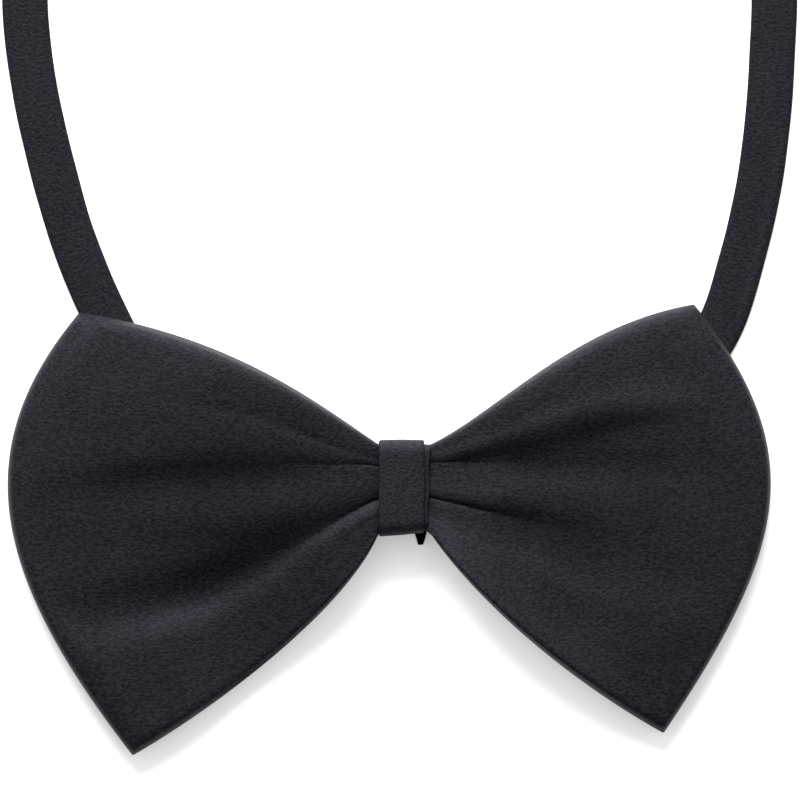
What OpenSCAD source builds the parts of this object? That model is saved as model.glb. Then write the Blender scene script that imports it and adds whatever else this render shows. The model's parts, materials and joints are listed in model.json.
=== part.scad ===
// Pre-tied bow tie on an adjustable neck strap, lying face up.
// X runs across the bow, Y up the bow towards the neck, Z out of its front.
// The origin is on the flat back of the knot, under the middle of the knot.

/* [Bow] */
// Reach of the left wing from its root to its outermost point
left_span = 62.4; // [45:0.1:80]
// Height of the left wing's top corner above the knot centre
left_top = 29.6; // [22:0.1:40]
// Depth of the left wing's bottom tip below the knot centre
left_drop = 45.6; // [34:0.1:58]
// Reach of the right wing from its root to its outermost point
right_span = 57.5; // [42:0.1:75]
// Height of the right wing's top corner above the knot centre
right_top = 31; // [22:0.1:40]
// Depth of the right wing's bottom tip below the knot centre
right_drop = 41.8; // [32:0.1:54]
// Swell of the front panel halfway out
mid_puff = 5.2; // [3:0.1:7]
// Share of the swell that the pleats take away at the knot
pleat_depth = 0.45; // [0:0.05:0.6]
// Height of the wings' seam at the outer edge
seam_edge_z = 2.2; // [2.1:0.1:4]

/* [Cloth] */
// Thickness of the bow's satin
cloth_t = 0.4; // [0.3:0.05:0.5]
// Thickness of the woven interlining between the panels
lining_t = 0.4; // [0.3:0.05:0.6]
// Air between neighbouring layers of cloth
layer_gap = 0.1; // [0.05:0.01:0.2]
// How far the interlining stops short of the seams, as a share of the wing
lining_inset = 0.05; // [0.03:0.01:0.1]

/* [Knot] */
// Width of the knot's outer wrap across the bow
knot_w = 7.4; // [5:0.1:10]
// Height of the knot's outer wrap
knot_h = 16.2; // [13:0.1:20]
// Thickness of the outer wrap
wrap_t = 0.7; // [0.4:0.05:0.9]
// Thickness of the inner wrap
under_t = 0.6; // [0.4:0.05:0.8]
// How far the inner wrap shows past the outer wrap on the right
under_shift = 0.9; // [0.5:0.05:1.5]
// Radius of the knot's rolled corners
knot_r = 2.2; // [1.8:0.1:3]
// Thickness of the gathered cloth inside the knot
core_t = 6.2; // [5:0.1:7]
// Diameter of the gathering thread
thread_d = 0.45; // [0.3:0.05:0.6]
// Length of the wrap's loose end that peeps out below the knot
tail_peep = 1.8; // [1:0.1:3]
// Width of the wrap's loose end
tail_w = 2.6; // [2:0.1:3]
// Gap between a wing's root and the wrap beside it
root_gap = 0.4; // [0.3:0.05:0.6]
// Length of the sunken seam down the knot's back
seam_l = 9; // [6:0.1:10]
// Width of that seam
seam_w = 1.6; // [1:0.1:1.8]
// Distance of the seam from the middle of the knot
seam_x = 1.8; // [1.7:0.1:2]

/* [Strap] */
// Width of the neck strap
strap_w = 8; // [6:0.1:9]
// Thickness of the neck strap, two layers of satin pressed flat
strap_t = 0.8; // [0.6:0.05:1]
// Clearance between the strap and what it lies against in the knot
strap_gap = 0.1; // [0.05:0.01:0.2]

/* [Closure] */
// Diameter of the wire ring and of the hook's strap bar
wire_d = 1.4; // [1:0.1:1.6]
// Running clearance between a bar and the strap folded round it
bar_gap = 0.1; // [0.05:0.01:0.15]
// Distance between the ring's two long bars
ring_l = 6; // [5.5:0.1:8]
// Clearance between the strap's edge and hardware beside it
edge_gap = 0.4; // [0.2:0.05:0.8]
// Distance from the hook's strap bar to the face of its lip
hook_l = 13.5; // [11:0.1:16]
// Thickness of the hook plate
hook_t = 0.8; // [0.6:0.05:1.2]
// Slack between the hook's lip and the ring
hook_slack = 0.8; // [0.4:0.05:1]
// Thickness of the hook's cheeks
cheek_t = 1; // [0.8:0.05:1.5]
// Height of the hook's lip above the table
lip_z = 0.4; // [0.2:0.05:0.8]
// Length of the slide along the strap
slide_l = 11; // [10:0.1:14]
// Thickness of the slide's bars
slide_t = 0.8; // [0.6:0.05:1]
// Width of the slide's bars and rails
rail = 1.2; // [1:0.05:1.6]
// Diameter of the slide's centre bar
slide_bar_d = 1.2; // [1:0.05:1.5]
// Place of the slide along the strap at rest
slide_x = 12; // [9:0.1:14]

/* [Hidden] */
$fn = 48;

// The knot's stack, from the table up.
under_z = wrap_t + layer_gap / 2;
strap_z = under_z + under_t + strap_gap;
core_z = strap_z + strap_t + strap_gap;
core_top = core_z + core_t;
under_top = core_top + layer_gap + under_t;
knot_t = under_top + layer_gap / 2 + wrap_t;
wrap_x = -knot_w / 2;
under_x = wrap_x + under_shift;
root_left = knot_w / 2 + root_gap;
root_right = knot_w / 2 + under_shift + root_gap;
under_h = knot_h - 2 * wrap_t - layer_gap;
core_h = under_h - 2 * under_t - 2 * layer_gap;
seam_groove = 0.6 * wrap_t;
seam_n = 5;
tail_z = 0.5;
fold_web = 0.6;
cut_over = 1;

// The wings' layers. A root is a little shorter than the knot, at its top and at its bottom.
root_dip = 0.9;
root_rise = 0.3;
swell_power = 0.6;
pleat_turn = 540;
pleat_fade = 1.5;
stack_half = cloth_t + layer_gap + lining_t / 2;
seam_root_z = core_z + core_t / 2;
root_puff = core_t / 2 - stack_half;
root_top = knot_h / 2 - root_dip;
root_drop = knot_h / 2 - root_rise;
along_n = 16;
across_n = 18;

// A wing's corners and its edges' middle points, as shares of its reach, top and drop:
// [corner x, tip x, top edge, outer edge, bottom edge].
left_shape = [0.81, 0.665, [[0.16, 0.47], [0.385, 0.86]],
    [[1.05, -0.32], [1.12, 0.22]], [[0.08, 0.44], [0.415, 0.8]]];
right_shape = [0.775, 0.685, [[0.19, 0.4], [0.415, 0.885]],
    [[1.055, -0.245], [1.12, 0.2]], [[0.105, 0.405], [0.35, 0.74]]];

// The closure, along a straight stretch of strap behind the neck.
closure_y = 128;
ring_x = -27;
hook_x = ring_x + ring_l - wire_d / 2 - hook_slack + hook_l;
fold_in = wire_d / 2 + bar_gap;
fold_out = fold_in + strap_t;
ring_z = fold_out;
slide_bar_gap = 0.1;
lift_z = slide_t + slide_bar_gap;
hook_z = lift_z + fold_out;
hardware_w = strap_w + 2 * edge_gap;
slide_in = slide_bar_d / 2 + bar_gap;
slide_out = slide_in + strap_t;
slide_gap = 0.15;
slide_z = lift_z + strap_t + slide_gap + slide_out;
fold_leg = 4;
slide_leg = 5;
slide_end_x = slide_x - slide_leg;
stitch_n = 6;
plate_gap = 0.6;
tongue_gap = 1;
shoulder = 2.5;
boss_wall = 0.4;

// The straps' routes: place and height of the underside, from the knot outwards.
strap_dip = 0.1;
lead_x = root_right + 1;
left_route = [
    [0, 0, strap_z], [-lead_x, 0, strap_z - strap_dip], [-12, 0.8, 0.5], [-19, 2.6, 0], [-26, 5.2, 0],
    [-38, 13, 0], [-46.5, 22, 0], [-51.5, 31, 0], [-56, 42, 0], [-59.5, 54, 0],
    [-62.3, 66, 0], [-63.8, 76, 0], [-64.3, 86, 0], [-63, 98, 0], [-59, 110, 0],
    [-52, 120, 0], [-45, 125.6, 0], [-39, closure_y, 0], [-34, closure_y, 0]];
right_route = [
    [0, 0, strap_z], [lead_x, 0, strap_z - strap_dip], [12, 0.6, 0.5], [19.5, 2, 0], [27, 4.4, 0],
    [40, 11.5, 0], [49, 20, 0], [54.5, 28, 0], [58, 39, 0], [60.7, 50.5, 0],
    [62.3, 62, 0], [63.2, 75, 0], [63.4, 86, 0], [62, 98, 0], [57.5, 110, 0],
    [49, 120, 0], [39, 126.4, 0.3], [29, closure_y, lift_z], [10, closure_y, lift_z],
    [hook_x, closure_y, lift_z]];

ring_end_x = left_route[len(left_route) - 1][0];
lap_z = strap_t + layer_gap / 2;
lap_step = 2.5;
stitch_edge = 0.5;
tack_w = 1.5;

satin = "#26262c";
strap_cloth = "#2b2b31";
lining = "#3a3a40";
thread = "#1c1c20";
nickel = "#b9b9bd";

// ---------- Shapes ----------

function mix(a, b, t) = a + (b - a) * t;

function bezier(p, t) =
    pow(1 - t, 3) * p[0] + 3 * pow(1 - t, 2) * t * p[1]
    + 3 * (1 - t) * t * t * p[2] + t * t * t * p[3];

// A point's place in a wing, from shares of the wing's reach, top and drop.
function wing_point(f, root, span, top, drop) =
    [root + f[0] * span, f[1] < 0 ? f[1] * drop : f[1] * top];

function wing_top(s, root, span, top, drop) = [
    [root, root_top],
    wing_point(s[2][0], root, span, top, drop),
    wing_point(s[2][1], root, span, top, drop),
    [root + s[0] * span, top]];

function wing_bottom(s, root, span, top, drop) = [
    [root, -root_drop],
    wing_point([s[4][0][0], -s[4][0][1]], root, span, top, drop),
    wing_point([s[4][1][0], -s[4][1][1]], root, span, top, drop),
    [root + s[1] * span, -drop]];

function wing_outer(s, root, span, top, drop) = [
    [root + s[1] * span, -drop],
    wing_point(s[3][0], root, span, top, drop),
    wing_point(s[3][1], root, span, top, drop),
    [root + s[0] * span, top]];

// A wing's plan: u runs from the root to the outer edge, v from the bottom to the top edge.
function patch(b, t, o, u, v) =
    let (r0 = b[0], r1 = t[0])
    mix(bezier(b, u), bezier(t, u), v) + mix(mix(r0, r1, v), bezier(o, v), u)
    - mix(mix(r0, r1, v), mix(b[3], t[3], v), u);

function seam_z(u) = mix(seam_root_z, seam_edge_z, u);
function swell(v) = pow(4 * v * (1 - v), swell_power);
function pleat(u, v) =
    1 - pleat_depth * pow(1 - u, pleat_fade) * (1 - abs(sin(pleat_turn * v)));
function front_z(u, v) =
    seam_z(u) + stack_half
    + (root_puff * (1 - u) + mid_puff * sin(180 * u)) * swell(v) * pleat(u, v);
function back_z(u, v) = seam_z(u) - stack_half - root_puff * (1 - u) * swell(v);

// Height of a layer's underside: 0 is the back panel, 1 the interlining, 2 the front panel.
function layer_z(layer, u, v) =
    layer == 0 ? back_z(u, v)
    : layer == 1 ? seam_z(u) - lining_t / 2
    : front_z(u, v) - cloth_t;

// One closed layer of cloth over a wing's plan, side -1 on the left and 1 on the right.
module cloth_layer(layer, side) {
    s = side < 0 ? left_shape : right_shape;
    root = side < 0 ? root_left : root_right;
    span = side < 0 ? left_span : right_span;
    top = side < 0 ? left_top : right_top;
    drop = side < 0 ? left_drop : right_drop;
    inset = layer == 1 ? lining_inset : 0;
    t = layer == 1 ? lining_t : cloth_t;
    b = wing_bottom(s, root, span, top, drop);
    e = wing_top(s, root, span, top, drop);
    o = wing_outer(s, root, span, top, drop);
    row = across_n + 1;
    sheet = (along_n + 1) * row;
    points = [for (lift = [0, t]) for (i = [0 : along_n]) for (j = [0 : across_n])
        let (u = (1 - inset) * i / along_n, v = mix(inset, 1 - inset, j / across_n),
            p = patch(b, e, o, u, v))
        [side * p[0], p[1], layer_z(layer, u, v) + lift]];
    grid = [for (i = [0 : along_n - 1]) for (j = [0 : across_n - 1]) let (a = i * row + j)
        each [[a, a + 1, a + row + 1], [a, a + row + 1, a + row]]];
    rim = concat(
        [for (i = [0 : along_n - 1]) each [[i * row, (i + 1) * row],
            [(i + 1) * row + across_n, i * row + across_n]]],
        [for (j = [0 : across_n - 1]) each [[j + 1, j],
            [along_n * row + j, along_n * row + j + 1]]]);
    walls = [for (w = rim) each [[w[0], w[1], w[1] + sheet], [w[0], w[1] + sheet, w[0] + sheet]]];
    faces = concat(
        [for (f = grid) f],
        [for (f = grid) [f[0] + sheet, f[2] + sheet, f[1] + sheet]],
        walls);
    out = [for (f = faces) side > 0 ? f : [f[0], f[2], f[1]]];
    polyhedron(points = points, faces = out, convexity = 6);
}

// Rounded rectangle standing in Y and Z, from z0 up, as wide as w and as tall as t.
module wrap_outline(w, t, r, z0) {
    translate([0, z0]) union() {
        translate([-w / 2 + r, 0]) square([w - 2 * r, t]);
        translate([-w / 2, r]) square([w, t - 2 * r]);
        for (y = [-1, 1], z = [r, t - r]) translate([y * (w / 2 - r), z]) circle(r);
    }
}

// Stands an outline drawn in Y and Z up and gives it length x1 - x0 along X.
module along_x(x0, x1) {
    translate([x0, 0, 0]) rotate([90, 0, 90]) linear_extrude(x1 - x0) children();
}

// Stands an outline drawn in X and Z up and gives it width w along Y, centred on the closure.
module across_strap(w) {
    translate([0, closure_y + w / 2, 0]) rotate([90, 0, 0]) linear_extrude(w) children();
}

// The gathered cloth: three folds side by side, joined through their middles.
module three_folds(r) {
    reach = core_h - core_t;
    translate([0, core_z + core_t / 2]) {
        for (k = [-1 : 1]) translate([k * reach / 2, 0]) circle(r);
        square([reach, 2 * fold_web * r], center = true);
    }
}

// Half of the strap bent round a bar at (x, z), open to the left or to the right.
module bend(x, z, inner, outer, side) {
    translate([x, z]) difference() {
        circle(outer);
        circle(inner);
        translate([side > 0 ? -outer : 0, -outer]) square([outer, 2 * outer]);
    }
}

// A smooth curve through the route's points, k places a leg.
function curve_point(p, i, t) =
    let (n = len(p), a = p[max(i - 1, 0)], b = p[i], c = p[i + 1], d = p[min(i + 2, n - 1)])
    0.5 * (2 * b + (c - a) * t + (2 * a - 5 * b + 4 * c - d) * t * t
        + (3 * b - a - 3 * c + d) * t * t * t);
function curve(p, k) = concat(
    [for (i = [0 : len(p) - 2]) for (j = [0 : k - 1]) curve_point(p, i, j / k)],
    [p[len(p) - 1]]);

// A flat strap along a route, its width level all the way.
module flat_strap(route, steps) {
    c = curve(route, steps);
    n = len(c);
    points = [for (i = [0 : n - 1])
        let (d = i == 0 ? route[1] - route[0]
                : i == n - 1 ? route[len(route) - 1] - route[len(route) - 2]
                : c[i + 1] - c[i - 1],
            l = norm([d[0], d[1]]),
            s = [-d[1], d[0], 0] / l * strap_w / 2, up = [0, 0, strap_t])
        each [c[i] - s, c[i] + s, c[i] + s + up, c[i] - s + up]];
    sides = [for (i = [0 : n - 2]) for (k = [0 : 3])
        let (a = 4 * i + k, b = 4 * i + (k + 1) % 4)
        each [[a, a + 4, b + 4], [a, b + 4, b]]];
    last = 4 * (n - 1);
    polyhedron(points = points, convexity = 6, faces = concat(
        [[0, 1, 2], [0, 2, 3]], sides,
        [[last, last + 2, last + 1], [last, last + 3, last + 2]]));
}

// A row of short stitches across the strap, from x0 to x1, on top of height z.
module stitch_row(x0, x1, z) {
    row = strap_w - 2 * stitch_edge;
    for (i = [0 : stitch_n])
        translate([x0, closure_y + (i / stitch_n - 0.5) * row - thread_d / 2, z])
            cube([x1 - x0, thread_d, thread_d / 2]);
}

// ---------- Bow ----------

module left_front_panel() { color(satin) cloth_layer(2, -1); }
module left_interlining() { color(lining) cloth_layer(1, -1); }
module left_back_panel() { color(satin) cloth_layer(0, -1); }
module right_front_panel() { color(satin) cloth_layer(2, 1); }
module right_interlining() { color(lining) cloth_layer(1, 1); }
module right_back_panel() { color(satin) cloth_layer(0, 1); }

// ---------- Knot ----------

// The middle of the bow, gathered into folds, with a waist for the thread.
module pleat_core() {
    color(satin) difference() {
        along_x(wrap_x, -wrap_x) three_folds(core_t / 2);
        difference() {
            along_x(-thread_d, thread_d) wrap_outline(knot_h, core_t, thread_d, core_z);
            along_x(-2 * thread_d, 2 * thread_d) three_folds(core_t / 2 - thread_d);
        }
    }
}

// Two turns of thread that hold the folds together.
module gather_thread() {
    turn_gap = layer_gap / 2;
    color(thread) for (x = [-thread_d, turn_gap]) difference() {
        along_x(x, x + thread_d - turn_gap) three_folds(core_t / 2 - turn_gap);
        along_x(x - cut_over, x + cut_over) three_folds(core_t / 2 - thread_d);
    }
}

// The strip of satin round the knot, with its seam sunk into the back.
module knot_wrap() {
    color(satin) difference() {
        along_x(wrap_x, -wrap_x) difference() {
            wrap_outline(knot_h, knot_t, knot_r, 0);
            wrap_outline(knot_h - 2 * wrap_t, knot_t - 2 * wrap_t, knot_r - wrap_t, wrap_t);
        }
        translate([seam_x - seam_w / 2, -seam_l / 2, -cut_over])
            cube([seam_w, seam_l, cut_over + seam_groove]);
    }
}

// The turn of satin under it, which shows past its right edge.
module knot_underwrap() {
    r = knot_r - wrap_t - layer_gap / 2;
    color(satin) along_x(under_x, under_x + knot_w) difference() {
        wrap_outline(under_h, under_top - under_z, r, under_z);
        wrap_outline(under_h - 2 * under_t, under_top - under_z - 2 * under_t,
            r - under_t, under_z + under_t);
    }
}

// The wrap's loose end, cut to a point, low behind the knot.
module knot_wrap_tail() {
    low = -knot_h / 2;
    right = under_x + knot_w;
    color(satin) difference() {
        translate([0, 0, tail_z]) linear_extrude(wrap_t)
            polygon([[right - tail_w, low + knot_r], [right - tail_w, low],
                [right - tail_w / 2, low - tail_peep], [right, low], [right, low + knot_r]]);
        along_x(wrap_x, right + cut_over) wrap_outline(knot_h, knot_t, knot_r, 0);
    }
}

// Hand stitches that close the wrap's seam.
module knot_stitches() {
    pitch = seam_l / seam_n;
    sink = layer_gap / 2;
    color(thread) for (i = [0 : seam_n - 1])
        translate([seam_x - seam_w / 2 + 2 * sink, (i - (seam_n - 1) / 2) * pitch, sink])
            cube([seam_w - 4 * sink, thread_d, seam_groove - sink]);
}

// ---------- Strap ----------

module strap_left() { color(strap_cloth) flat_strap(left_route, 2); }
module strap_right() { color(strap_cloth) flat_strap(right_route, 2); }

// ---------- Closure ----------

// A rectangular ring of wire with rounded corners.
module ring() {
    r = wire_d / 2;
    corner = edge_gap + r;
    half = strap_w / 2 + corner;
    color(nickel) translate([ring_x, closure_y, ring_z]) {
        for (x = [0, ring_l]) translate([x, 0, 0]) rotate([90, 0, 0])
            cylinder(r = r, h = 2 * (half - corner), center = true);
        for (y = [-half, half]) translate([ring_l / 2, y, 0]) rotate([0, 90, 0])
            cylinder(r = r, h = ring_l - 2 * corner, center = true);
        for (x = [0, 1], y = [0, 1])
            translate([x * ring_l + (1 - 2 * x) * corner, (2 * y - 1) * (half - corner), 0])
                rotate([0, 0, x == 1 ? (y == 1 ? 0 : 270) : (y == 1 ? 90 : 180)])
                    rotate_extrude(angle = 90) translate([corner, 0]) circle(r);
    }
}

// The left strap's end, taken round the ring and sewn down on itself.
module ring_fold() {
    top_z = ring_z + fold_in;
    near_x = ring_x - lap_step;
    far_x = near_x - lap_step;
    color(strap_cloth) across_strap(strap_w) union() {
        translate([ring_end_x, 0]) square([ring_x - ring_end_x, strap_t]);
        bend(ring_x, ring_z, fold_in, fold_out, 1);
        translate([near_x, top_z]) square([lap_step, strap_t]);
        polygon([[near_x, top_z], [near_x, top_z + strap_t],
            [far_x, lap_z + strap_t], [far_x, lap_z]]);
        translate([ring_end_x, lap_z]) square([far_x - ring_end_x, strap_t]);
    }
}

module ring_stitches() {
    color(thread) stitch_row(ring_end_x + stitch_edge, ring_x - 2 * lap_step, lap_z + strap_t);
}

// The hook: cheeks and a bar for the strap, a tongue over the ring, and a lip inside it.
module hook() {
    r = wire_d / 2;
    plate_z = ring_z + r + plate_gap;
    plate_x = hook_x - fold_out - plate_gap;
    lip_x = hook_x - hook_l - hook_t;
    half = hardware_w / 2 + cheek_t;
    tongue = hardware_w / 2 - tongue_gap;
    color(nickel) {
        translate([hook_x, closure_y, hook_z]) rotate([90, 0, 0])
            cylinder(r = r, h = 2 * half, center = true);
        for (y = [-1, 1]) translate([0, y * (half - cheek_t / 2), 0]) across_strap(cheek_t) {
            translate([hook_x, hook_z]) circle(r + boss_wall / 2);
            translate([plate_x, plate_z]) square([hook_x - plate_x, hook_t]);
        }
        translate([0, closure_y, plate_z]) linear_extrude(hook_t)
            polygon([[plate_x, -half], [plate_x, half], [plate_x - shoulder, half],
                [lip_x + shoulder, tongue], [lip_x, tongue],
                [lip_x, -tongue], [lip_x + shoulder, -tongue], [plate_x - shoulder, -half]]);
        across_strap(2 * tongue)
            translate([lip_x, lip_z]) square([hook_t, plate_z + hook_t - lip_z]);
    }
}

// The right strap's end, taken round the hook's bar and back on top of itself.
module hook_fold() {
    top_z = hook_z + fold_in;
    color(strap_cloth) across_strap(strap_w) union() {
        bend(hook_x, hook_z, fold_in, fold_out, -1);
        translate([hook_x, top_z]) square([fold_leg, strap_t]);
    }
}

// The slide: outer bars under the strap, a centre bar over it, and rails between them.
module slide() {
    half = hardware_w / 2 + rail;
    stub = slide_bar_d + 2 * boss_wall;
    color(nickel) {
        for (x = [slide_x - slide_l / 2, slide_x + slide_l / 2 - rail])
            translate([x, closure_y - half, 0]) cube([rail, 2 * half, slide_t]);
        for (y = [-half, half - rail]) {
            translate([slide_x - slide_l / 2, closure_y + y, 0])
                cube([slide_l, rail, slide_t]);
            translate([slide_x - stub / 2, closure_y + y, 0]) cube([stub, rail, slide_z]);
            translate([slide_x, closure_y + y + rail, slide_z]) rotate([90, 0, 0])
                cylinder(r = stub / 2, h = rail);
        }
        translate([slide_x, closure_y, slide_z]) rotate([90, 0, 0])
            cylinder(d = slide_bar_d, h = 2 * half, center = true);
    }
}

// The strap's own end, sewn round the slide's centre bar.
module slide_fold() {
    top_z = slide_z + slide_in;
    low_z = slide_z - slide_out;
    under_top_z = top_z - layer_gap / 2 - strap_t;
    near_x = slide_x - slide_in;
    far_x = near_x - lap_step;
    color(strap_cloth) across_strap(strap_w) union() {
        bend(slide_x, slide_z, slide_in, slide_out, 1);
        translate([slide_end_x, top_z]) square([slide_x - slide_end_x, strap_t]);
        translate([near_x, low_z]) square([slide_x - near_x, strap_t]);
        polygon([[near_x, low_z], [near_x, low_z + strap_t],
            [far_x, under_top_z + strap_t], [far_x, under_top_z]]);
        translate([slide_end_x, under_top_z]) square([far_x - slide_end_x, strap_t]);
    }
}

module slide_stitches() {
    color(thread)
        stitch_row(slide_end_x + stitch_edge, slide_end_x + stitch_edge + tack_w,
            slide_z + slide_in + strap_t);
}

// The doubled length of strap between the hook's fold and the slide.
module strap_tail() {
    from_z = hook_z + fold_in;
    to_z = slide_z + slide_in;
    x0 = hook_x + fold_leg;
    x1 = slide_end_x;
    color(strap_cloth) across_strap(strap_w)
        polygon([[x0, from_z], [x0, from_z + strap_t], [x1, to_z + strap_t], [x1, to_z]]);
}

left_front_panel();
left_interlining();
left_back_panel();
right_front_panel();
right_interlining();
right_back_panel();
pleat_core();
gather_thread();
knot_wrap();
knot_underwrap();
knot_wrap_tail();
knot_stitches();
strap_left();
strap_right();
ring();
ring_fold();
ring_stitches();
hook();
hook_fold();
slide();
slide_fold();
slide_stitches();
strap_tail();
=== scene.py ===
"""A satin pre-tied bow tie on its adjustable neck strap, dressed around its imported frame."""

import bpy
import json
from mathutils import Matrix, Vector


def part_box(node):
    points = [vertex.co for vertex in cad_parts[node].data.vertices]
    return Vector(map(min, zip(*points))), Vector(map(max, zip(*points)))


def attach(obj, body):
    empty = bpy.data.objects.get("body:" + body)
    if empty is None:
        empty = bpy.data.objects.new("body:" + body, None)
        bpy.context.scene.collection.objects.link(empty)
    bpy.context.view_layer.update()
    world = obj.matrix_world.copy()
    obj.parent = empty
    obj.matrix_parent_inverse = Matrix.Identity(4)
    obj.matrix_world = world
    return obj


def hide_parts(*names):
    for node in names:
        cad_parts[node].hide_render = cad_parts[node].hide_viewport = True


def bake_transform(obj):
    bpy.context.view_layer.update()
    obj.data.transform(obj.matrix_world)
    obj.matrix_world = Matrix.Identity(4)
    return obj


bl_info = {
    "name": "Satin Bow Tie",
    "version": (1, 0, 0),
    "blender": (4, 5, 0),
    "location": "View3D > Sidebar > Bow Tie",
    "description": "Builds a pre-tied satin bow tie and its neck strap",
    "category": "Object",
}

import json
import math

import bmesh
import bpy
from mathutils import Vector, noise

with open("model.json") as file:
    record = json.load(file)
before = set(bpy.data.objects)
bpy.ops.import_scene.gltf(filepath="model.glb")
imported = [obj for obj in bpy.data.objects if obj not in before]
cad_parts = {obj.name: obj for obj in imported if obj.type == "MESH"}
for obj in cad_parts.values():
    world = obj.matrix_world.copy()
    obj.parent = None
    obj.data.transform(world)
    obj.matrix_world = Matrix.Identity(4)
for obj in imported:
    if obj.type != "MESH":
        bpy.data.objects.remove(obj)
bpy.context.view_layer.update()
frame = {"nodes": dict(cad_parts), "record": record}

MM = 0.001


# ---------- Sizes and colours ----------

class BowTieSettings(bpy.types.PropertyGroup):
    """What a user would change on the bow tie."""

    crown: bpy.props.FloatProperty(
        name="Crown", description="Swell of a wing's front halfway out",
        default=3.5 * MM, min=3 * MM, max=7 * MM, unit="LENGTH")
    root_crown: bpy.props.FloatProperty(
        name="Crown at the knot", description="Swell of a wing's front beside the knot",
        default=2.5 * MM, min=1 * MM, max=4 * MM, unit="LENGTH")
    fold_depth: bpy.props.FloatProperty(
        name="Fold depth", description="Depth of the wings' folds, as a share of the usual",
        default=1.1, min=0.3, max=1.4)
    cloth: bpy.props.FloatProperty(
        name="Cloth", description="Thickness of the satin",
        default=0.35 * MM, min=0.2 * MM, max=0.6 * MM, unit="LENGTH")
    rib: bpy.props.FloatProperty(
        name="Rib", description="Spacing of the twill's ribs",
        default=0.55 * MM, min=0.3 * MM, max=1.0 * MM, unit="LENGTH")
    satin: bpy.props.FloatVectorProperty(
        name="Satin", description="Colour of the bow", subtype="COLOR_GAMMA",
        size=3, min=0, max=1, default=(0x22 / 255, 0x21 / 255, 0x26 / 255))
    strap: bpy.props.FloatVectorProperty(
        name="Strap", description="Colour of the neck strap", subtype="COLOR_GAMMA",
        size=3, min=0, max=1, default=(0x20 / 255, 0x20 / 255, 0x25 / 255))


def settings():
    return bpy.context.scene.bow_tie


# ---------- Small tools ----------

def mix(a, b, t):
    return a + (b - a) * t


def smooth(t):
    t = min(max(t, 0.0), 1.0)
    return t * t * (3 - 2 * t)


def hex_colour(code):
    """A linear colour from an sRGB hex code or from three sRGB shares."""
    if isinstance(code, str):
        code = [int(code[i:i + 2], 16) / 255 for i in (0, 2, 4)]
    return [c / 12.92 if c <= 0.04045 else ((c + 0.055) / 1.055) ** 2.4 for c in code] + [1.0]


def bezier(p, t):
    """A point on a cubic curve with control points p."""
    a, b, c, d = ((1 - t) ** 3, 3 * (1 - t) ** 2 * t, 3 * (1 - t) * t * t, t ** 3)
    return p[0] * a + p[1] * b + p[2] * c + p[3] * d


def spline(a, b, c, d, t):
    """A smooth run from b to c, with a before them and d after."""
    return 0.5 * (2 * b + (c - a) * t + (2 * a - 5 * b + 4 * c - d) * t * t
                  + (3 * b - a - 3 * c + d) * t ** 3)


def along(values, t):
    """A smooth run through evenly spaced values, at share t of the way."""
    n = len(values) - 1
    k = min(max(t, 0.0) * n, n - 1e-9)
    i = int(k)
    return spline(values[max(i - 1, 0)], values[i], values[i + 1], values[min(i + 2, n)], k - i)


def catmull(points, steps):
    """Points of a smooth curve through the given ones, so many to a leg."""
    out = []
    last = len(points) - 1
    for i in range(last):
        near = (points[max(i - 1, 0)], points[i], points[i + 1], points[min(i + 2, last)])
        out += [spline(*near, k / steps) for k in range(steps)]
    return out + [points[-1]]


def finish_mesh(bm, name, material):
    """Turns a bmesh into an object at the origin, with its one material."""
    bmesh.ops.remove_doubles(bm, verts=bm.verts, dist=1e-6)
    bmesh.ops.recalc_face_normals(bm, faces=bm.faces)
    mesh = bpy.data.meshes.new(name)
    bm.to_mesh(mesh)
    bm.free()
    obj = bpy.data.objects.new(name, mesh)
    bpy.context.scene.collection.objects.link(obj)
    mesh.materials.append(material)
    mesh.shade_smooth()
    return obj


def cloth_grid(columns, rows, place):
    """A grid of cloth whose points are moved by place(u, v), with its UV in millimetres."""
    bm = bmesh.new()
    bmesh.ops.create_grid(bm, x_segments=columns, y_segments=rows, size=0.5)
    uv = bm.loops.layers.uv.new("UVMap")
    flat = {v: (v.co.x + 0.5, v.co.y + 0.5) for v in bm.verts}
    for v, (a, b) in flat.items():
        v.co = place(a, b)
    for face in bm.faces:
        for loop in face.loops:
            loop[uv].uv = flat[loop.vert]
    return bm


def thicken(obj, amount):
    """Gives a sheet its thickness, and rounds it off."""
    wall = obj.modifiers.new("Thickness", "SOLIDIFY")
    wall.thickness = amount
    wall.offset = 0.0
    wall.use_even_offset = False
    soft = obj.modifiers.new("Soft", "SUBSURF")
    soft.levels = 1
    soft.render_levels = 1
    return obj


# ---------- Materials ----------

def add(tree, kind, inputs=None, **settings_of):
    """Adds a node with its settings, and sets or links its inputs."""
    node = tree.nodes.new(kind)
    for key, value in settings_of.items():
        setattr(node, key, value)
    for key, value in (inputs or {}).items():
        if isinstance(value, bpy.types.NodeSocket):
            tree.links.new(value, node.inputs[key])
        else:
            node.inputs[key].default_value = value
    return node


def new_material(name):
    material = bpy.data.materials.new(name)
    material.use_nodes = True
    material.node_tree.nodes.clear()
    return material, material.node_tree


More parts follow.
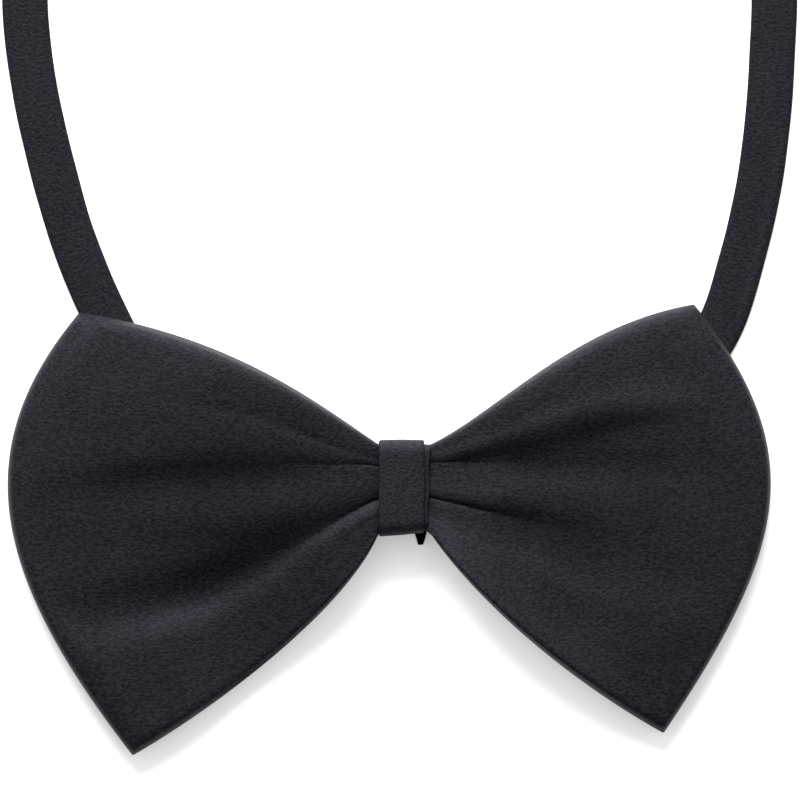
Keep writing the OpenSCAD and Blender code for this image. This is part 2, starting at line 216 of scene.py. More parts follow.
def polyester_satin_woven(name, colour, rib, coords="Object", turn=45.0):
    """Polyester satin with a fine twill: ribs that catch the light, and slightly uneven dye."""
    material, tree = new_material(name)
    where = add(tree, "ShaderNodeTexCoord")
    place = add(tree, "ShaderNodeMapping", {"Vector": where.outputs[coords],
                                            "Rotation": (0, 0, math.radians(turn))})
    # The ribs are drawn a little coarser than they are woven, so that they show.
    ribs = add(tree, "ShaderNodeTexWave", {"Vector": place.outputs[0],
                                           "Scale": math.tau / (20 * rib),
                                           "Distortion": 5.0, "Detail": 2.0,
                                           "Detail Scale": 2.0}, bands_direction="X")
    grain = add(tree, "ShaderNodeTexNoise", {"Vector": where.outputs[coords],
                                             "Scale": 0.35 / rib, "Detail": 3.0,
                                             "Roughness": 0.7})
    mottle = add(tree, "ShaderNodeTexNoise", {"Vector": where.outputs[coords],
                                              "Scale": 130.0, "Detail": 3.0})
    slubs = add(tree, "ShaderNodeMapping", {"Vector": where.outputs[coords],
                                            "Scale": (0.8, 1.2, 1.0)})
    threads = add(tree, "ShaderNodeTexNoise", {"Vector": slubs.outputs[0],
                                               "Scale": 1.0 / rib, "Detail": 2.0})
    crepe = add(tree, "ShaderNodeMapRange", {"Value": threads.outputs["Fac"],
                                             "From Min": 0.34, "From Max": 0.66})
    weave = add(tree, "ShaderNodeMix", {0: 0.85, 2: ribs.outputs["Fac"],
                                        3: crepe.outputs[0]}, data_type="FLOAT")
    dark, light = [c * 0.5 for c in colour[:3]] + [1], [c * 1.5 for c in colour[:3]] + [1]
    ramp = add(tree, "ShaderNodeMix", {0: weave.outputs[0], 6: dark, 7: light},
               data_type="RGBA")
    tint = add(tree, "ShaderNodeMix", {0: 0.22, 6: ramp.outputs[2],
                                       7: mottle.outputs["Fac"]},
               data_type="RGBA", blend_type="OVERLAY")
    rough = add(tree, "ShaderNodeMapRange", {"Value": grain.outputs["Fac"],
                                             "To Min": 0.54, "To Max": 0.68})
    bump = add(tree, "ShaderNodeBump", {"Height": weave.outputs[0], "Strength": 0.5,
                                        "Distance": 0.12 * MM})
    shader = add(tree, "ShaderNodeBsdfPrincipled", {
        "Base Color": tint.outputs[2], "Roughness": rough.outputs[0],
        "Normal": bump.outputs[0], "Specular IOR Level": 0.12,
        "Sheen Weight": 0.04, "Sheen Roughness": 0.5,
        "Sheen Tint": hex_colour("8a88a0"),
        "Specular Tint": hex_colour("dcd8ea")})
    add(tree, "ShaderNodeOutputMaterial", {"Surface": shader.outputs[0]})
    return material


def cotton_interlining_woven(name):
    """Plain-woven cotton interlining: an open square weave, quite matt."""
    material, tree = new_material(name)
    where = add(tree, "ShaderNodeTexCoord")
    threads = [add(tree, "ShaderNodeTexWave", {"Vector": where.outputs["Object"],
                                               "Scale": math.tau / (20 * 0.5 * MM),
                                               "Distortion": 0.6}, bands_direction=d)
               for d in ("X", "Y")]
    weave = add(tree, "ShaderNodeMath", {0: threads[0].outputs["Fac"],
                                         1: threads[1].outputs["Fac"]}, operation="MAXIMUM")
    ramp = add(tree, "ShaderNodeMix", {0: weave.outputs[0], 6: hex_colour("2c2c31"),
                                       7: hex_colour("4a4a50")}, data_type="RGBA")
    bump = add(tree, "ShaderNodeBump", {"Height": weave.outputs[0], "Strength": 0.5,
                                        "Distance": 0.15 * MM})
    shader = add(tree, "ShaderNodeBsdfPrincipled", {"Base Color": ramp.outputs[2],
                                                    "Roughness": 0.9,
                                                    "Normal": bump.outputs[0]})
    add(tree, "ShaderNodeOutputMaterial", {"Surface": shader.outputs[0]})
    return material


def polyester_thread_spun(name):
    """Spun polyester thread: fine twisted plies with a dull shine."""
    material, tree = new_material(name)
    where = add(tree, "ShaderNodeTexCoord")
    plies = add(tree, "ShaderNodeTexWave", {"Vector": where.outputs["Object"],
                                            "Scale": math.tau / (20 * 0.3 * MM),
                                            "Distortion": 1.0}, bands_direction="DIAGONAL")
    ramp = add(tree, "ShaderNodeMix", {0: plies.outputs["Fac"], 6: hex_colour("141418"),
                                       7: hex_colour("2e2e34")}, data_type="RGBA")
    bump = add(tree, "ShaderNodeBump", {"Height": plies.outputs["Fac"], "Strength": 0.6,
                                        "Distance": 0.1 * MM})
    shader = add(tree, "ShaderNodeBsdfPrincipled", {"Base Color": ramp.outputs[2],
                                                    "Roughness": 0.6,
                                                    "Normal": bump.outputs[0]})
    add(tree, "ShaderNodeOutputMaterial", {"Surface": shader.outputs[0]})
    return material


def nickel_plated_steel_tumbled(name):
    """Nickel-plated steel, tumbled bright: warm grey metal with fine rub marks."""
    material, tree = new_material(name)
    where = add(tree, "ShaderNodeTexCoord")
    stretch = add(tree, "ShaderNodeMapping", {"Vector": where.outputs["Object"],
                                              "Scale": (400.0, 3000.0, 3000.0)})
    rubs = add(tree, "ShaderNodeTexNoise", {"Vector": stretch.outputs[0], "Scale": 1.0,
                                            "Detail": 4.0})
    wear = add(tree, "ShaderNodeTexNoise", {"Vector": where.outputs["Object"],
                                            "Scale": 350.0, "Detail": 3.0})
    tone = add(tree, "ShaderNodeMix", {0: wear.outputs["Fac"], 6: hex_colour("a9a7a2"),
                                       7: hex_colour("cfcdc7")}, data_type="RGBA")
    rough = add(tree, "ShaderNodeMapRange", {"Value": rubs.outputs["Fac"],
                                             "To Min": 0.4, "To Max": 0.56})
    bump = add(tree, "ShaderNodeBump", {"Height": rubs.outputs["Fac"], "Strength": 0.08,
                                        "Distance": 0.02 * MM})
    shader = add(tree, "ShaderNodeBsdfPrincipled", {"Base Color": tone.outputs[2],
                                                    "Metallic": 1.0,
                                                    "Roughness": rough.outputs[0],
                                                    "Normal": bump.outputs[0]})
    add(tree, "ShaderNodeOutputMaterial", {"Surface": shader.outputs[0]})
    return material


def finish_called(name):
    """A finish by its name, made once."""
    found = bpy.data.materials.get(name)
    if found:
        return found
    s = settings()
    makers = {
        "bow_satin": lambda: polyester_satin_woven(name, hex_colour(s.satin), s.rib),
        "knot_satin": lambda: polyester_satin_woven(
            name, hex_colour([c * 1.12 for c in s.satin]), s.rib * 0.8, turn=20.0),
        "strap_satin": lambda: polyester_satin_woven(
            name, hex_colour(s.strap), s.rib, coords="UV", turn=35.0),
        "interlining": lambda: cotton_interlining_woven(name),
        "thread": lambda: polyester_thread_spun(name),
        "nickel": lambda: nickel_plated_steel_tumbled(name),
    }
    return makers[name]()


# ---------- The wings ----------

# Corners and edges as shares of a wing's reach, top and drop:
# corner x, tip x, then the middle points of the top, outer and bottom edges.
LEFT_PLAN = (0.81, 0.665, ((0.16, 0.47), (0.385, 0.86)),
             ((1.05, -0.32), (1.12, 0.22)), ((0.08, -0.44), (0.415, -0.8)))
RIGHT_PLAN = (0.775, 0.685, ((0.19, 0.4), (0.415, 0.885)),
              ((1.055, -0.245), (1.12, 0.2)), ((0.105, -0.405), (0.35, -0.74)))

# The folds, each a step across the wing: where its middle lies, how far it rises towards the top
# edge (or falls, if negative) in millimetres, and how wide it is, as shares of the wing. The
# values run in equal stages from the knot to the outer edge. Each wing's first row isn't a fold: it
# is a broad rise that evens the shading of the wing's upper part. All the heights were set
# against the photo's shading, so they are not measured depths.
LEFT_FOLDS = (
    ((0.80, 0.80, 0.80, 0.80, 0.80, 0.80), (0.0, 0.1, 0.8, 1.7, 2.1, 2.0),
     (0.30, 0.30, 0.32, 0.34, 0.36, 0.36)),
    ((0.33, 0.285, 0.215, 0.19, 0.20, 0.22), (-0.6, -1.1, -1.4, -1.4, -1.4, -1.0),
     (0.07, 0.06, 0.055, 0.045, 0.05, 0.08)),
    ((0.43, 0.36, 0.315, 0.288, 0.288, 0.28), (0.5, 1.8, 3.2, 3.1, 1.5, 0.2),
     (0.11, 0.13, 0.15, 0.10, 0.08, 0.07)),
    ((0.43, 0.42, 0.40, 0.415, 0.44, 0.45), (0.0, 0.0, 0.5, 0.8, 0.3, 0.0),
     (0.08, 0.08, 0.08, 0.075, 0.07, 0.07)),
    ((0.80, 0.71, 0.665, 0.633, 0.60, 0.58), (0.0, 0.6, 1.6, 2.0, 1.2, 0.1),
     (0.09, 0.10, 0.105, 0.085, 0.065, 0.06)),
    ((0.85, 0.842, 0.872, 0.855, 0.83, 0.82), (0.15, 0.2, 0.15, 0.1, 0.0, 0.0),
     (0.05, 0.045, 0.03, 0.025, 0.02, 0.02)),
    ((0.82, 0.81, 0.835, 0.825, 0.81, 0.80), (-0.15, -0.2, -0.15, -0.1, 0.0, 0.0),
     (0.05, 0.045, 0.03, 0.025, 0.02, 0.02)),
)
RIGHT_FOLDS = (
    ((0.80, 0.80, 0.80, 0.80, 0.80, 0.80), (0.0, 0.1, 0.7, 1.6, 2.1, 2.0),
     (0.30, 0.30, 0.32, 0.34, 0.36, 0.36)),
    ((0.12, 0.08, 0.03, 0.01, 0.0, 0.0), (-0.8, -3.0, -4.8, -4.4, -3.0, -0.6),
     (0.16, 0.18, 0.15, 0.12, 0.09, 0.06)),
    ((0.17, 0.17, 0.21, 0.19, 0.22, 0.22), (0.0, -0.1, -0.5, -0.6, -0.3, 0.0),
     (0.05, 0.05, 0.065, 0.06, 0.06, 0.06)),
    ((0.40, 0.388, 0.384, 0.368, 0.38, 0.38), (0.25, 0.9, 1.6, 1.2, 0.3, 0.0),
     (0.08, 0.09, 0.11, 0.14, 0.14, 0.14)),
    ((0.55, 0.545, 0.535, 0.53, 0.52, 0.52), (-0.3, -0.7, -0.7, -0.6, -0.4, -0.2),
     (0.2, 0.22, 0.16, 0.12, 0.10, 0.10)),
    ((0.81, 0.735, 0.655, 0.63, 0.623, 0.63), (0.1, 0.2, 0.4, 0.5, 0.45, 0.2),
     (0.08, 0.075, 0.06, 0.055, 0.07, 0.07)),
    ((0.79, 0.782, 0.748, 0.757, 0.755, 0.75), (0.1, 1.1, 1.9, 1.6, 0.5, 0.0),
     (0.05, 0.075, 0.11, 0.07, 0.04, 0.03)),
    ((0.88, 0.862, 0.848, 0.84, 0.81, 0.73), (-0.25, -0.4, -0.6, -0.8, -1.1, -0.8),
     (0.07, 0.062, 0.057, 0.056, 0.075, 0.11)),
)


# The sharp creases where the folds enter the knot: line and depth, in the same stages.
LEFT_CREASES = (
    ((0.76, 0.70, 0.665, 0.633, 0.60, 0.58), (0.25, 0.15, 0.0, 0.0, 0.0, 0.0)),
    ((0.385, 0.31, 0.25, 0.22, 0.21, 0.21), (0.4, 0.25, 0.0, 0.0, 0.0, 0.0)),
)
RIGHT_CREASES = (
    ((0.80, 0.71, 0.65, 0.63, 0.62, 0.62), (0.25, 0.1, 0.0, 0.0, 0.0, 0.0)),
    ((0.40, 0.375, 0.36, 0.35, 0.35, 0.35), (0.4, 0.4, 0.1, 0.0, 0.0, 0.0)),
)
CREASE_WIDTH = 0.022


class Wing:
    """The plan and the swell of one wing, in metres, from its two panels' boxes."""

    def __init__(self, side):
        self.name = "left" if side < 0 else "right"
        self.side = side
        lo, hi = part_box(f"{self.name}_front_panel")
        low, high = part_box(f"{self.name}_back_panel")
        self.root = min(abs(lo.x), abs(hi.x))
        self.span = max(abs(lo.x), abs(hi.x)) - self.root
        self.top, self.drop = hi.y, -lo.y
        self.plan = LEFT_PLAN if side < 0 else RIGHT_PLAN
        self.folds = LEFT_FOLDS if side < 0 else RIGHT_FOLDS
        self.creases = LEFT_CREASES if side < 0 else RIGHT_CREASES
        knot_lo, knot_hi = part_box("knot_wrap")
        core_lo, core_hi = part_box("pleat_core")
        self.knot_side = knot_hi.x if side > 0 else -knot_lo.x
        self.root_top, self.root_drop = knot_hi.y - 0.9 * MM, -knot_lo.y - 0.3 * MM
        self.core_half = (core_hi.y - core_lo.y) / 2 - 0.1 * MM
        self.core_mid = (core_lo.z + core_hi.z) / 2
        self.edge_z = low.z + 0.7 * MM
        corner, tip, top, outer, bottom = self.plan
        share = lambda f: Vector((self.root + f[0] * self.span,
                                  f[1] * (self.top if f[1] > 0 else self.drop)))
        root_up, root_down = Vector((self.root, self.root_top)), Vector((self.root, -self.root_drop))
        up, down = share((corner, 1)), share((tip, -1))
        self.top_edge = (root_up, share(top[0]), share(top[1]), up)
        self.bottom_edge = (root_down, share(bottom[0]), share(bottom[1]), down)
        self.outer_edge = (down, share(outer[0]), share(outer[1]), up)

    def flat(self, u, v):
        """Plan of a point: u runs from the root out, v from the bottom edge up."""
        b, t, o = self.bottom_edge, self.top_edge, self.outer_edge
        root = b[0].lerp(t[0], v)
        return (bezier(b, u).lerp(bezier(t, u), v) + root.lerp(bezier(o, v), u)
                - root.lerp(b[3].lerp(t[3], v), u))

    def seam(self, u):
        return mix(self.core_mid, self.edge_z, u)

    def rise(self, d, quick, share, reach):
        """How full the wing is at share d from an edge: a quick roll, then a slow one."""
        d = max(d, 0.0)
        slow = math.sin(min(d / reach, 1.0) * math.pi / 2)
        return share * (1 - math.exp(-d / quick)) + (1 - share) * slow

    def swell(self, v):
        return self.rise(v, 0.004, 0.93, 0.25) * self.rise(1 - v, 0.007, 0.93, 0.1)

    def relief(self, u, v):
        """Height of all the folds at a point, level at the middle of the wing."""
        height = 0.0
        for line, rise, width in self.folds:
            d = (v - along(line, u)) / along(width, u)
            middle = (0.5 - along(line, u)) / along(width, u)
            height += along(rise, u) * 0.5 * (math.tanh(1.6 * d) - math.tanh(1.6 * middle))
        for line, depth in self.creases:
            height -= along(depth, u) * math.exp(-abs(v - along(line, u)) / CREASE_WIDTH)
        return height * MM

    def ripple(self, u, v):
        """Small puckers that run out from the knot."""
        p = Vector((u * 3.0, v * 26.0, 7.0 * self.side))
        q = Vector((u * 5.0, v * 6.0, 3.0 * self.side))
        return (0.05 * noise.noise(p) * (1 - u) ** 1.5 + 0.30 * noise.noise(q) * u) * MM

    def front(self, u, v):
        s = settings()
        edge = self.swell(v)
        out = math.sin(min(u / 0.5, 1.0) * math.pi / 2) ** 0.75
        crown = s.root_crown * (1 - u) + s.crown * out * self.rise(1 - u, 0.004, 0.85, 0.35)
        rim = smooth((1 - u) / 0.08)
        lift = s.fold_depth * self.relief(u, v) + self.ripple(u, v)
        height = crown * edge + lift * min(edge * 1.3, 1.0) * rim
        return self.seam(u) + 0.25 * MM + max(height, 0.0)

    def back(self, u, v):
        s = settings()
        edge = max(4 * v * (1 - v), 0.0) ** 0.55
        pleats = 0.5 * MM * (1 - u) ** 2 * math.cos(math.tau * 4 * v)
        return self.seam(u) - 0.25 * MM - (s.root_crown * (1 - u) + pleats) * edge

    def point(self, u, v, height):
        """A point of a panel. The first stretch of u is tucked in under the knot."""
        tuck = 0.03
        if u < tuck:
            t = u / tuck
            y = mix(-1, 1, v)
            inside = Vector((self.side * (self.knot_side - 1.6 * MM), y * self.core_half * 0.93,
                             self.core_mid + (height(0, v) - self.core_mid) * 0.9))
            p = self.flat(0, v)
            rootp = Vector((self.side * p.x, p.y, height(0, v)))
            return inside.lerp(rootp, smooth(t) * 0.5 + t * 0.5)
        w = (u - tuck) / (1 - tuck)
        p = self.flat(w, v)
        return Vector((self.side * p.x, p.y, height(w, v)))


def wing_panel(wing, which, columns, rows):
    # The front and back aren't joined: their edges stay about half a millimetre apart.
    height = wing.front if which == "front" else wing.back
    # Points are closer near the knot, where the folds are tight, and at the edges' quick roll.
    obj = finish_mesh(
        cloth_grid(columns, rows, lambda a, b: wing.point(
            1 - (1 - a ** 1.25) ** 1.6, mix(b, 0.5 - 0.5 * math.cos(math.pi * b), 0.7), height)),
        f"{wing.name}_{which}_satin", finish_called("bow_satin"))
    s = settings()
    thicken(obj, s.cloth)
    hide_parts(f"{wing.name}_{which}_panel")
    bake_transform(obj)
    return obj


class BOWTIE_OT_wings(bpy.types.Operator):
    """Make the front and back panels of both wings"""

    bl_idname = "bowtie.wings"
    bl_label = "Wings"

    def execute(self, context):
        for side in (-1, 1):
            wing = Wing(side)
            wing_panel(wing, "front", 88, 120)
            wing_panel(wing, "back", 36, 48)
        return {"FINISHED"}


# ---------- The knot ----------

def wrap_loop(w, h, r, t):
    """A point at share t round a rounded rectangle of width w and height h, from its middle back."""
    straight_w, straight_h, arc = w - 2 * r, h - 2 * r, math.pi * r / 2
    legs = (straight_w / 2, arc, straight_h, arc, straight_w, arc, straight_h, arc, straight_w / 2)
    d = (t % 1.0) * sum(legs)
    corners = ((w / 2 - r, r), (w / 2 - r, h - r), (-w / 2 + r, h - r), (-w / 2 + r, r))
    for i, leg in enumerate(legs):
        if d <= leg or i == 8:
            break
        d -= leg
    if i == 0:
        return d, 0.0
    if i == 8:
        return -w / 2 + r + d, 0.0
    if i % 2:
        k = i // 2
        a = -math.pi / 2 + k * math.pi / 2 + d / r
        return corners[k][0] + r * math.cos(a), corners[k][1] + r * math.sin(a)
    return {2: (w / 2, r + d), 4: (w / 2 - r - d, h), 6: (-w / 2, h - r - d)}[i]


def wrap_piece(name, node, radius, wall, bulge, edge, seam=0.0, seam_x=0.0, lean=0.0):
    """A strip of satin taken right round the knot; edge(y, front) shifts its two rims in x."""
    lo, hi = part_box(node)
    w, h = hi.y - lo.y, hi.z - lo.z

    def place(a, b):
        y, z = wrap_loop(w - wall, h - wall, radius - wall / 2, b)
        z += wall / 2
        front = smooth((z - h * 0.5) / (h * 0.4))
        x = mix(lo.x, hi.x, a)
        rim = abs(2 * a - 1)
        left, right = edge(y, front)
        x += mix(left, right, a)
        swell = bulge * (1 - rim ** 3) * front
        crease = 0.10 * MM * noise.noise(Vector((x * 500, y * 140, z * 140)))
        sunk = seam * math.exp(-((x - seam_x) / (0.7 * MM)) ** 2) * smooth((5 * MM - abs(y)) / MM)
        sunk *= smooth((0.3 * h - z) / (0.2 * h))
        # The wrap hangs a little lower on its left.
        hang = lean * mix(-1, 1, a) * smooth(-2 * y / h)
        return Vector((x, y * (1 - 0.012 * rim) + hang, lo.z + z + (swell + crease) * front + sunk))

    bm = cloth_grid(14, 96, place)
    obj = finish_mesh(bm, name, finish_called("knot_satin"))
    thicken(obj, wall)
    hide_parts(node)
    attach(obj, "neckband")
    return obj


class BOWTIE_OT_knot(bpy.types.Operator):
    """Make the knot's two turns of satin and its loose end"""

    bl_idname = "bowtie.knot"
    bl_label = "Knot"

    def execute(self, context):
        lo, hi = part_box("knot_stitches")
        seam_x = (lo.x + hi.x) / 2
        wrap_piece("knot_wrap_satin", "knot_wrap", 2.2 * MM, 0.6 * MM, 0.25 * MM,
                   lambda y, f: ((0.06 * math.sin(y * 700) * f - 0.22) * MM,
                                 (0.06 * math.sin(y * 520 + 1) * f + 0.12) * MM),
                   seam=0.3 * MM, seam_x=seam_x, lean=0.35 * MM)
        wrap_piece("knot_underwrap_satin", "knot_underwrap", 1.45 * MM, 0.5 * MM, 0.0,
                   lambda y, f: (0.0, (0.10 * math.sin(y * 900 + 2) + 25 * y) * f * MM))
        stitches = [[Vector((x, y + tilt, z)) for x, tilt, z in (
            (lo.x - 0.2 * MM, 0, 0.45 * MM), (lo.x + 0.1 * MM, 0, 0.1 * MM),
            (seam_x, 0.3 * MM, 0.02 * MM), (hi.x - 0.1 * MM, 0.6 * MM, 0.1 * MM),
            (hi.x + 0.2 * MM, 0.6 * MM, 0.45 * MM))]
            for y in [mix(lo.y, hi.y - 0.6 * MM, k / 6) for k in range(7)]]
        sewn("knot_stitches_thread", "knot_stitches", stitches, "neckband")

        # The wrap's loose end is a small tab that narrows to its tip.
        low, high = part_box("knot_wrap_tail")
        middle = (low.x + high.x) / 2

        def place(a, b):
            half = 1.5 * MM * (1 - 0.78 * b ** 1.3)
            lean = 0.3 * MM * math.sin(b * 2.2) - 0.4 * MM
            return Vector((middle + lean + mix(-half, half, a), mix(high.y + 1.2 * MM, low.y, b),
                           low.z + 0.35 * MM + 0.25 * MM * math.sin(a * math.pi) * b))

        tail = finish_mesh(cloth_grid(6, 12, place), "wrap_tail_satin", finish_called("knot_satin"))
        thicken(tail, 0.5 * MM)
        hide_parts("knot_wrap_tail")
        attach(tail, "neckband")
        return {"FINISHED"}


# ---------- The strap ----------

# The routes of the strap's two halves from the knot, in millimetres: place and underside.
LEFT_ROUTE = (
    (0, 0, 1.45), (-6, 0, 1.3), (-12, 0.8, 0.5), (-19, 2.6, 0), (-26, 5.2, 0), (-38, 13, 0),
    (-46.5, 22, 0), (-51.5, 31, 0), (-56, 42, 0), (-59.5, 54, 0), (-62.3, 66, 0),
    (-63.8, 76, 0), (-64.3, 86, 0), (-63, 98, 0), (-59, 110, 0), (-52, 120, 0),
    (-45, 125.6, 0), (-39, 128, 0), (-34, 128, 0))
RIGHT_ROUTE = (
    (0, 0, 1.45), (6, 0, 1.3), (12, 0.6, 0.5), (19.5, 2, 0), (27, 4.4, 0), (40, 11.5, 0),
    (49, 20, 0), (54.5, 28, 0), (58, 39, 0), (60.7, 50.5, 0), (62.3, 62, 0), (63.2, 75, 0),
    (63.4, 86, 0), (62, 98, 0), (57.5, 110, 0), (49, 120, 0), (39, 126.4, 0.3),
    (29, 128, 0.9), (10, 128, 0.9), (-9, 128, 0.9))


# The strap is two layers of satin, pressed flat.
STRAP_WALL = 0.8 * MM


def band(name, path, across, wall, width, hollow=0.12, seed=1.0, folded=(0, 0)):
    """A flat band along a path of middle points; across gives the way of its width at each.

    Between the two lengths in folded, a crease runs beside the band's outer edge."""
    n = len(path)
    length = [0.0]
    for a, b in zip(path, path[1:]):
        length.append(length[-1] + (b - a).length)
    normals = []
    for i in range(n):
        t = (path[min(i + 1, n - 1)] - path[max(i - 1, 0)]).normalized()
        normals.append(t.cross(across[i]).normalized())

    def place(a, b):
        i = min(round(b * (n - 1)), n - 1)
        side = mix(-1, 1, a)
        dip = -hollow * MM * math.cos(side * math.pi / 2) ** 2 + hollow * MM * 0.5
        wave = 0.10 * MM * noise.noise(Vector((seed, length[i] * 90, side)))
        reach = width / 2 + 0.08 * MM * noise.noise(Vector((seed + 5, length[i] * 120, side)))
        inside = smooth((length[i] - folded[0]) / (8 * MM)) * smooth((folded[1] - length[i]) / (8 * MM))
        crease = 0.35 * MM * inside * math.exp(-((side + 0.75) / 0.08) ** 2)
        return path[i] + across[i] * side * reach + normals[i] * (dip + wave - crease) * -1

    bm = bmesh.new()
    bmesh.ops.create_grid(bm, x_segments=8, y_segments=n - 1, size=0.5)
    uv = bm.loops.layers.uv.new("UVMap")
    flat = {v: (v.co.x + 0.5, v.co.y + 0.5) for v in bm.verts}
    for v, (a, b) in flat.items():
        v.co = place(a, b)
    for face in bm.faces:
        for loop in face.loops:
            a, b = flat[loop.vert]
            i = min(round(b * (n - 1)), n - 1)
            loop[uv].uv = (a * width, length[i])
    obj = finish_mesh(bm, name, finish_called("strap_satin"))
    thicken(obj, wall)
    return obj


def arc(cx, cz, radius, start, end, steps=14):
    """Points round a bar, from one angle to another in degrees, standing across the strap."""
    turns = [math.radians(mix(start, end, k / steps)) for k in range(steps + 1)]
    return [(cx + radius * math.cos(a), cz + radius * math.sin(a)) for a in turns]


def bar_in(node, side):
    """The bar that a fold goes round: its x, its z and the strap's radius, and the strap's y."""
    lo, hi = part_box(node)
    half = (hi.z - lo.z) / 2
    x = hi.x - half if side > 0 else lo.x + half
    return x, lo.z + half, half - STRAP_WALL / 2, (lo.y + hi.y) / 2


def strap_path(side):
    """A strap half's middle line from the knot, and the way of its width at each point."""
    route = [Vector(p) * MM for p in (LEFT_ROUTE if side < 0 else RIGHT_ROUTE)]
    path = [p + Vector((0, 0, STRAP_WALL / 2)) for p in catmull(route, 8)]
    last = len(path) - 1
    across = []
    for i in range(last + 1):
        t = path[min(i + 1, last)] - path[max(i - 1, 0)]
        if i in (0, last):
            t = Vector((side if i == 0 else -side, 0, 0))
        across.append(Vector((-t.y, t.x, 0)).normalized())
    return path, across


def lead_on(path, across, points, y):
    """Carries a path on through points given as x and z, with its width level."""
    way = across[-1].copy()
    for x, z in points:
        path.append(Vector((x, y, z)))
        across.append(way)


class BOWTIE_OT_strap(bpy.types.Operator):
    """Make the two halves of the neck strap, the left one round its ring"""

    bl_idname = "bowtie.strap"
    bl_label = "Neck strap"

    def execute(self, context):
        path, across = strap_path(-1)
        x, z, r, y = bar_in("ring_fold", 1)
        lap = 1.5 * STRAP_WALL + 0.05 * MM
        end = path[-1].x
        lead_on(path, across, [(mix(end, x, k / 6), STRAP_WALL / 2) for k in range(1, 6)]
                + arc(x, z, r, -90, 90)
                + [(x - 1.4 * MM, z + r - 0.05 * MM), (x - 2.6 * MM, z + r - 0.5 * MM),
                   (x - 3.8 * MM, lap + 0.35 * MM), (x - 5.0 * MM, lap), (end, lap)], y)
        obj = band("strap_left_satin", path, across, STRAP_WALL - 0.08 * MM, 7.9 * MM, seed=2.0)
        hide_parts("strap_left", "ring_fold")
        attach(obj, "neckband")
        path, across = strap_path(1)
        obj = band("strap_right_satin", path, across, STRAP_WALL - 0.08 * MM, 7.9 * MM, seed=4.0,
                   folded=(62 * MM, 100 * MM))
        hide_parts("strap_right")
        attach(obj, "neckband")
        return {"FINISHED"}


# ---------- The closure ----------

def sewn(name, node, rows, body, d=0.34 * MM, sides=7):
    """Round threads along rows of points, as one piece in place of a stitches node."""
    bm = bmesh.new()
    for points in rows:
        rings = []
        for i, p in enumerate(points):
            t = (points[min(i + 1, len(points) - 1)] - points[max(i - 1, 0)]).normalized()
            one = t.orthogonal() if i == 0 else (one - t * one.dot(t))
            one.normalize()
            two = t.cross(one)
            turn = [math.tau * k / sides for k in range(sides)]
            rings.append([bm.verts.new(p + (one * math.cos(a) + two * math.sin(a)) * d / 2)
                          for a in turn])
        for a, b in zip(rings, rings[1:]):
            for k in range(sides):
                bm.faces.new((a[k], a[(k + 1) % sides], b[(k + 1) % sides], b[k]))
        bm.faces.new(rings[0])
        bm.faces.new(rings[-1])
    obj = finish_mesh(bm, name, finish_called("thread"))
    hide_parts(node)
    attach(obj, body)
    return obj


def bar_tack(name, node, body, turns=15):
    """A dense zigzag of thread across the strap."""
    lo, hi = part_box(node)
    points = []
    for k in range(turns + 1):
        y = mix(lo.y, hi.y, k / turns)
        near, far = (lo.x, hi.x) if k % 2 else (hi.x, lo.x)
        low, top = lo.z + 0.02 * MM, lo.z + 0.16 * MM
        points += [Vector((near, y - 0.08 * MM, low)), Vector((mix(near, far, 0.15), y, top)),
                   Vector((mix(near, far, 0.85), y + 0.1 * MM, top)),
                   Vector((far, y + 0.16 * MM, low))]
    return sewn(name, node, [points], body)


class BOWTIE_OT_closure(bpy.types.Operator):
    """Make the doubled strap between hook and slide, and the bar tacks"""

    bl_idname = "bowtie.closure"
    bl_label = "Closure"

    def execute(self, context):
        hx, hz, hr, y = bar_in("hook_fold", -1)
        sx, sz, sr, _ = bar_in("slide_fold", 1)
        lo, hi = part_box("strap_tail")
        under = sz + sr - STRAP_WALL - 0.05 * MM
        first = Vector((hx + 0.6 * MM, y, hz - hr))
        path, across = [first], [Vector((0, -1, 0))]
        lead_on(path, across, arc(hx, hz, hr, 270, 90)
                + [(mix(hx, lo.x, 0.5), hz + hr), (lo.x, hz + hr)]
                + [(mix(lo.x, hi.x, k / 10), mix(hz + hr, sz + sr, smooth(k / 10)))
                   for k in range(1, 10)]
                + [(hi.x, sz + sr), (mix(hi.x, sx, 0.5), sz + sr)]
                + arc(sx, sz, sr, 90, -90)
                + [(sx - 1.0 * MM, sz - sr + 0.1 * MM), (sx - 2.0 * MM, mix(sz - sr, under, 0.55)),
                   (sx - 3.1 * MM, under), (hi.x, under)], y)
        obj = band("strap_tail_satin", path, across, STRAP_WALL - 0.1 * MM, 7.9 * MM,
                   hollow=0.05, seed=6.0)
        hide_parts("hook_fold", "strap_tail", "slide_fold")
        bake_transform(obj)
        bar_tack("ring_tack_thread", "ring_stitches", "neckband")
        bar_tack("slide_tack_thread", "slide_stitches", "slide")
        return {"FINISHED"}


class BOWTIE_OT_finishes(bpy.types.Operator):
    """Give every kept frame node its finish"""

    bl_idname = "bowtie.finishes"
    bl_label = "Finishes"

    def execute(self, context):
        kinds = {"satin": "bow_satin", "strap_cloth": "strap_satin", "lining": "interlining",
                 "thread": "thread", "nickel": "nickel"}
        for part in frame["record"]["subparts"]:
            node = frame["nodes"][part["node"]]
            for kept in node.material_slots:
                kept.material = finish_called(kinds[part["material_slot"]])
        return {"FINISHED"}


# ---------- The stage ----------

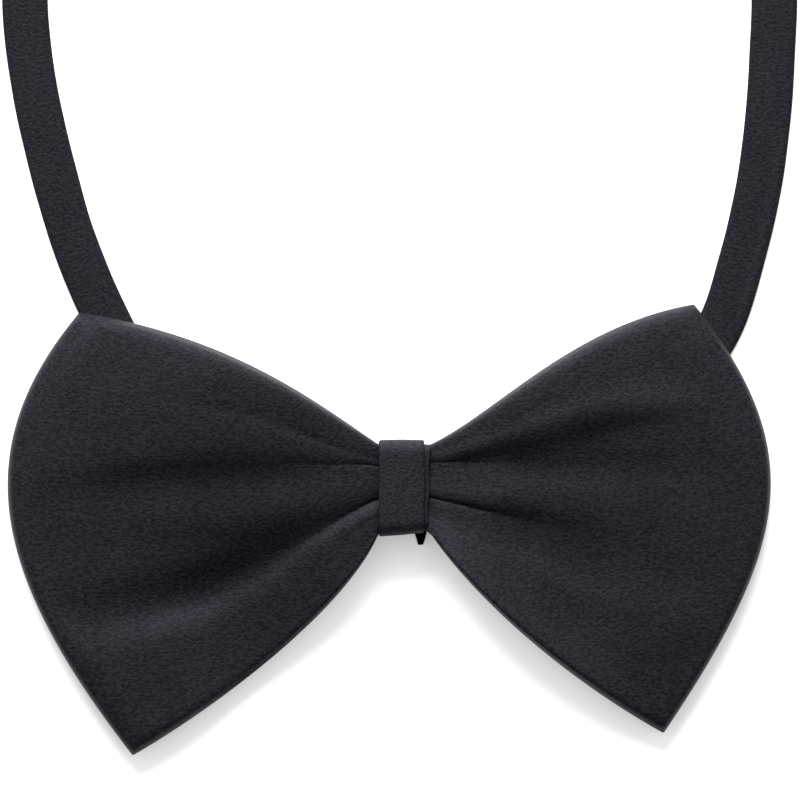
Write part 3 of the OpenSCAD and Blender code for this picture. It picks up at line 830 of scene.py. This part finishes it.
class BOWTIE_OT_stage(bpy.types.Operator):
    """Make the pale glowing floor with its painted contact shadow, the soft lights and the camera"""

    bl_idname = "bowtie.stage"
    bl_label = "Stage"

    def execute(self, context):
        scene = context.scene
        bm = bmesh.new()
        bmesh.ops.create_grid(bm, x_segments=2, y_segments=2, size=4.0)
        floor_material, tree = new_material("white_floor_glow_painted_shadow")
        # The floor glows evenly white, and its glow is dimmed where the bow stands close above it: a
        # painted contact shadow.
        near = add(tree, "ShaderNodeAmbientOcclusion", {"Distance": 9 * MM}, samples=8)
        glow_with_painted_shadow = add(tree, "ShaderNodeMapRange", {"Value": near.outputs["AO"], "From Min": 0.3,
                                                "To Min": 0.35, "To Max": 0.86})
        shader = add(tree, "ShaderNodeBsdfPrincipled", {"Base Color": hex_colour("fafafa"),
                                                        "Roughness": 0.95,
                                                        "Specular IOR Level": 0.1,
                                                        "Emission Color": (1, 1, 1, 1),
                                                        "Emission Strength": glow_with_painted_shadow.outputs[0]})
        add(tree, "ShaderNodeOutputMaterial", {"Surface": shader.outputs[0]})
        floor = finish_mesh(bm, "floor", floor_material)
        floor.location.z = -0.02 * MM

        def light(name, place, target, size, power):
            data = bpy.data.lights.new(name, "AREA")
            data.shape = "DISK"
            data.size = size
            data.energy = power
            lamp = bpy.data.objects.new(name, data)
            scene.collection.objects.link(lamp)
            lamp.location = place
            lamp.rotation_mode = "QUATERNION"
            lamp.rotation_quaternion = (Vector(target) - Vector(place)).to_track_quat("-Z", "Y")

        middle = (0, 0.01, 0)
        light("key", (-0.12, 1.00, 0.66), middle, 0.9, 34.0)
        world = bpy.data.worlds.new("soft_room")
        world.use_nodes = True
        background = world.node_tree.nodes["Background"]
        background.inputs["Color"].default_value = (1, 1, 1, 1)
        background.inputs["Strength"].default_value = 0.04
        scene.world = world
        scene.view_settings.view_transform = "Standard"

        data = bpy.data.cameras.new("camera")
        camera = bpy.data.objects.new("camera", data)
        scene.collection.objects.link(camera)
        width = 136 * MM
        distance = 1.2
        data.sensor_width = 36.0
        data.lens = 36.0 * distance / width
        data.clip_start, data.clip_end = 0.05, 20
        camera.location = (-0.34 * MM, 14.8 * MM, distance + 4 * MM)
        scene.camera = camera
        return {"FINISHED"}


class BOWTIE_PT_panel(bpy.types.Panel):
    """Lists the bow tie's pieces and sizes"""

    bl_idname = "BOWTIE_PT_panel"
    bl_label = "Bow Tie"
    bl_space_type = "VIEW_3D"
    bl_region_type = "UI"
    bl_category = "Bow Tie"

    def draw(self, context):
        for name in BowTieSettings.__annotations__:
            self.layout.prop(context.scene.bow_tie, name)
        for step in STEPS:
            self.layout.operator(step.bl_idname)


STEPS = (BOWTIE_OT_wings, BOWTIE_OT_knot, BOWTIE_OT_strap, BOWTIE_OT_closure,
         BOWTIE_OT_finishes, BOWTIE_OT_stage)
CLASSES = (BowTieSettings, *STEPS, BOWTIE_PT_panel)


def register():
    for cls in CLASSES:
        bpy.utils.register_class(cls)
    bpy.types.Scene.bow_tie = bpy.props.PointerProperty(type=BowTieSettings)


def unregister():
    del bpy.types.Scene.bow_tie
    for cls in reversed(CLASSES):
        bpy.utils.unregister_class(cls)


def main():
    register()
    bpy.ops.bowtie.stage()
    bpy.ops.bowtie.wings()
    bpy.ops.bowtie.knot()
    bpy.ops.bowtie.strap()
    bpy.ops.bowtie.closure()
    bpy.ops.bowtie.finishes()


if __name__ == "__main__":
    main()
